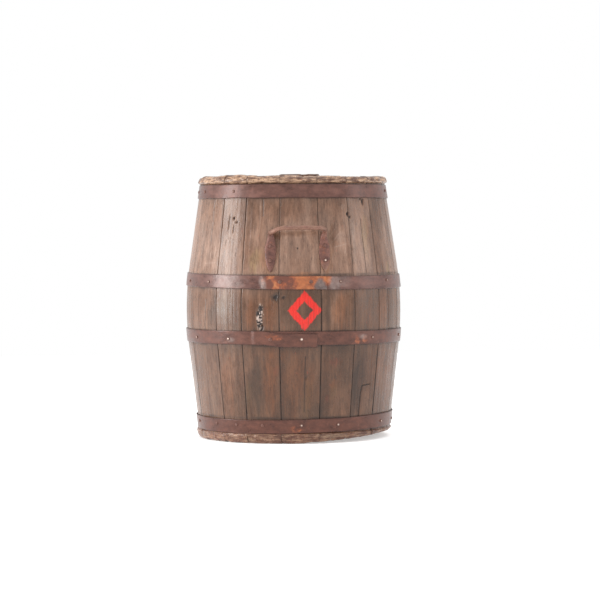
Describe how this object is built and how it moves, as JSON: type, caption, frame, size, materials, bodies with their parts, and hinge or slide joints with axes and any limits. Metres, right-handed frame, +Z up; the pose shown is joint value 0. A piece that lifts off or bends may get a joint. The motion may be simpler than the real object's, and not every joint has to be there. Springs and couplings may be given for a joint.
{
  "type": "wine barrel",
  "caption": "Small coopered oak cask with riveted iron hoops, two forged side handles and a bung that pulls out of the bilge.",
  "frame": {"origin": "centre of the ring of stave ends that the barrel stands on", "axes": "+Z up along the barrel's axis, -Y towards the front handle, +Y towards the back handle"},
  "size_m": [0.5158, 0.5674, 0.6315],
  "materials": {
    "oak_staves": "weathered, dry, with dark water stains",
    "oak_heads": "weathered, dry",
    "hoop_iron": "brown rust worn to a satin",
    "handle_iron": "forged, brown rust worn to a satin",
    "nail_iron": "rusted, worn bright on the crowns",
    "bung_wood": "turned, stained by wine at the inner end"
  },
  "bodies": {
    "cask": {"stave_01": "oak_staves", "stave_02": "oak_staves", "stave_03": "oak_staves", "stave_04": "oak_staves", "stave_05": "oak_staves", "stave_06": "oak_staves", "stave_07": "oak_staves", "stave_08": "oak_staves", "stave_09": "oak_staves", "stave_10": "oak_staves", "stave_11": "oak_staves", "stave_12": "oak_staves", "stave_13": "oak_staves", "stave_14": "oak_staves", "stave_15": "oak_staves", "stave_16": "oak_staves", "stave_17": "oak_staves", "stave_18": "oak_staves", "top_head_board_1": "oak_heads", "top_head_board_2": "oak_heads", "top_head_board_3": "oak_heads", "top_head_board_4": "oak_heads", "top_head_board_5": "oak_heads", "top_head_board_6": "oak_heads", "bottom_head_board_1": "oak_heads", "bottom_head_board_2": "oak_heads", "bottom_head_board_3": "oak_heads", "bottom_head_board_4": "oak_heads", "bottom_head_board_5": "oak_heads", "bottom_head_board_6": "oak_heads", "top_head_dowels": "oak_heads", "bottom_head_dowels": "oak_heads", "top_chime_hoop": "hoop_iron", "upper_bilge_hoop": "hoop_iron", "lower_bilge_hoop": "hoop_iron", "bottom_chime_hoop": "hoop_iron", "front_handle": "handle_iron", "back_handle": "handle_iron", "top_chime_hoop_nails": "nail_iron", "upper_bilge_hoop_nails": "nail_iron", "lower_bilge_hoop_nails": "nail_iron", "bottom_chime_hoop_nails": "nail_iron", "front_handle_nails": "nail_iron", "back_handle_nails": "nail_iron", "top_chime_hoop_lap_rivets": "nail_iron", "upper_bilge_hoop_lap_rivets": "nail_iron", "lower_bilge_hoop_lap_rivets": "nail_iron", "bottom_chime_hoop_lap_rivets": "nail_iron"},
    "bung": {"bung": "bung_wood"}
  },
  "joints": [
    {"name": "bung_pull", "type": "slide", "parent": "cask", "child": "bung", "axis": [0.1392, 0.9903, 0], "range_m": [0, 0.08]}
  ]
}
